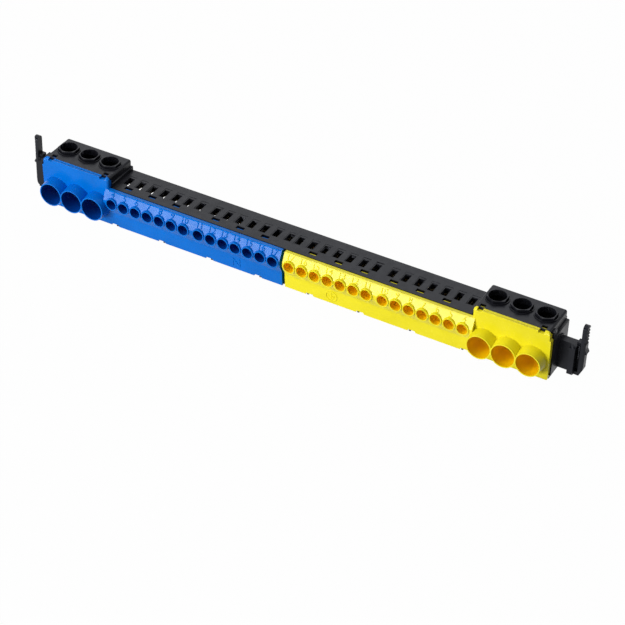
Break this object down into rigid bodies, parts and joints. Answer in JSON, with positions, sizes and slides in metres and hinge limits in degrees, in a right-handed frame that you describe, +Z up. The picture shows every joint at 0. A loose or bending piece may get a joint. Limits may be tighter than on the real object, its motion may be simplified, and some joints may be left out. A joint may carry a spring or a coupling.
{
  "type": "combined neutral and earth terminal strip",
  "caption": "Long terminal strip on a black carrier: blue neutral half and yellow earth half, small push-in entries, large screw entries in raised end boxes, snap latches.",
  "frame": {"origin": "middle of the underside: between the two covers along X, halfway from the large rims to the back along Y", "axes": "+X along the strip towards the earth half, -Y out of the cable entries, +Z up out of the screw wells"},
  "size_m": [0.286, 0.025, 0.0272],
  "materials": {
    "black_plastic": "fine satin texture",
    "blue_plastic": "satin moulded",
    "yellow_plastic": "satin moulded",
    "bar_brass": "satin punched",
    "spring_steel": "bright rolled",
    "zinc_steel": "zinc plated",
    "screw_steel": "zinc plated, turned"
  },
  "bodies": {
    "strip": {"carrier": "black_plastic", "neutral_cover": "blue_plastic", "earth_cover": "yellow_plastic", "neutral_busbar": "bar_brass", "earth_busbar": "bar_brass", "neutral_spring_17": "spring_steel", "neutral_spring_16": "spring_steel", "neutral_spring_15": "spring_steel", "neutral_spring_14": "spring_steel", "neutral_spring_13": "spring_steel", "neutral_spring_12": "spring_steel", "neutral_spring_11": "spring_steel", "neutral_spring_10": "spring_steel", "neutral_spring_9": "spring_steel", "neutral_spring_8": "spring_steel", "neutral_spring_7": "spring_steel", "neutral_spring_6": "spring_steel", "neutral_spring_5": "spring_steel", "neutral_spring_4": "spring_steel", "neutral_clamp_cage_3": "zinc_steel", "neutral_clamp_cage_2": "zinc_steel", "neutral_clamp_cage_1": "zinc_steel", "earth_spring_17": "spring_steel", "earth_spring_16": "spring_steel", "earth_spring_15": "spring_steel", "earth_spring_14": "spring_steel", "earth_spring_13": "spring_steel", "earth_spring_12": "spring_steel", "earth_spring_11": "spring_steel", "earth_spring_10": "spring_steel", "earth_spring_9": "spring_steel", "earth_spring_8": "spring_steel", "earth_spring_7": "spring_steel", "earth_spring_6": "spring_steel", "earth_spring_5": "spring_steel", "earth_spring_4": "spring_steel", "earth_clamp_cage_3": "zinc_steel", "earth_clamp_cage_2": "zinc_steel", "earth_clamp_cage_1": "zinc_steel"},
    "neutral_pad_3": {"neutral_pressure_pad_3": "zinc_steel"},
    "neutral_screw_3": {"neutral_clamp_screw_3": "screw_steel"},
    "neutral_pad_2": {"neutral_pressure_pad_2": "zinc_steel"},
    "neutral_screw_2": {"neutral_clamp_screw_2": "screw_steel"},
    "neutral_pad_1": {"neutral_pressure_pad_1": "zinc_steel"},
    "neutral_screw_1": {"neutral_clamp_screw_1": "screw_steel"},
    "earth_pad_3": {"earth_pressure_pad_3": "zinc_steel"},
    "earth_screw_3": {"earth_clamp_screw_3": "screw_steel"},
    "earth_pad_2": {"earth_pressure_pad_2": "zinc_steel"},
    "earth_screw_2": {"earth_clamp_screw_2": "screw_steel"},
    "earth_pad_1": {"earth_pressure_pad_1": "zinc_steel"},
    "earth_screw_1": {"earth_clamp_screw_1": "screw_steel"}
  },
  "joints": [
    {"name": "neutral_pad_lift_3", "type": "slide", "parent": "strip", "child": "neutral_pad_3", "axis": [0, 0, 1], "range_m": [0, 0.0065]},
    {"name": "neutral_screw_turn_3", "type": "hinge", "parent": "neutral_pad_3", "child": "neutral_screw_3", "pos_m": [-0.09968, 0.00395, 0.013], "axis": [0, 0, 1], "range_deg": [0, 2340]},
    {"name": "neutral_pad_lift_2", "type": "slide", "parent": "strip", "child": "neutral_pad_2", "axis": [0, 0, 1], "range_m": [0, 0.0065]},
    {"name": "neutral_screw_turn_2", "type": "hinge", "parent": "neutral_pad_2", "child": "neutral_screw_2", "pos_m": [-0.11121, 0.00395, 0.013], "axis": [0, 0, 1], "range_deg": [0, 2340]},
    {"name": "neutral_pad_lift_1", "type": "slide", "parent": "strip", "child": "neutral_pad_1", "axis": [0, 0, 1], "range_m": [0, 0.0065]},
    {"name": "neutral_screw_turn_1", "type": "hinge", "parent": "neutral_pad_1", "child": "neutral_screw_1", "pos_m": [-0.12274, 0.00395, 0.013], "axis": [0, 0, 1], "range_deg": [0, 2340]},
    {"name": "earth_pad_lift_3", "type": "slide", "parent": "strip", "child": "earth_pad_3", "axis": [0, 0, 1], "range_m": [0, 0.0065]},
    {"name": "earth_screw_turn_3", "type": "hinge", "parent": "earth_pad_3", "child": "earth_screw_3", "pos_m": [0.09968, 0.00395, 0.013], "axis": [0, 0, 1], "range_deg": [0, 2340]},
    {"name": "earth_pad_lift_2", "type": "slide", "parent": "strip", "child": "earth_pad_2", "axis": [0, 0, 1], "range_m": [0, 0.0065]},
    {"name": "earth_screw_turn_2", "type": "hinge", "parent": "earth_pad_2", "child": "earth_screw_2", "pos_m": [0.11121, 0.00395, 0.013], "axis": [0, 0, 1], "range_deg": [0, 2340]},
    {"name": "earth_pad_lift_1", "type": "slide", "parent": "strip", "child": "earth_pad_1", "axis": [0, 0, 1], "range_m": [0, 0.0065]},
    {"name": "earth_screw_turn_1", "type": "hinge", "parent": "earth_pad_1", "child": "earth_screw_1", "pos_m": [0.12274, 0.00395, 0.013], "axis": [0, 0, 1], "range_deg": [0, 2340]}
  ],
  "couplings": [
    {"joint": "neutral_screw_turn_3", "follows": "neutral_pad_lift_3", "rad_per_m": 6283.1},
    {"joint": "neutral_screw_turn_2", "follows": "neutral_pad_lift_2", "rad_per_m": 6283.1},
    {"joint": "neutral_screw_turn_1", "follows": "neutral_pad_lift_1", "rad_per_m": 6283.1},
    {"joint": "earth_screw_turn_3", "follows": "earth_pad_lift_3", "rad_per_m": 6283.1},
    {"joint": "earth_screw_turn_2", "follows": "earth_pad_lift_2", "rad_per_m": 6283.1},
    {"joint": "earth_screw_turn_1", "follows": "earth_pad_lift_1", "rad_per_m": 6283.1}
  ]
}
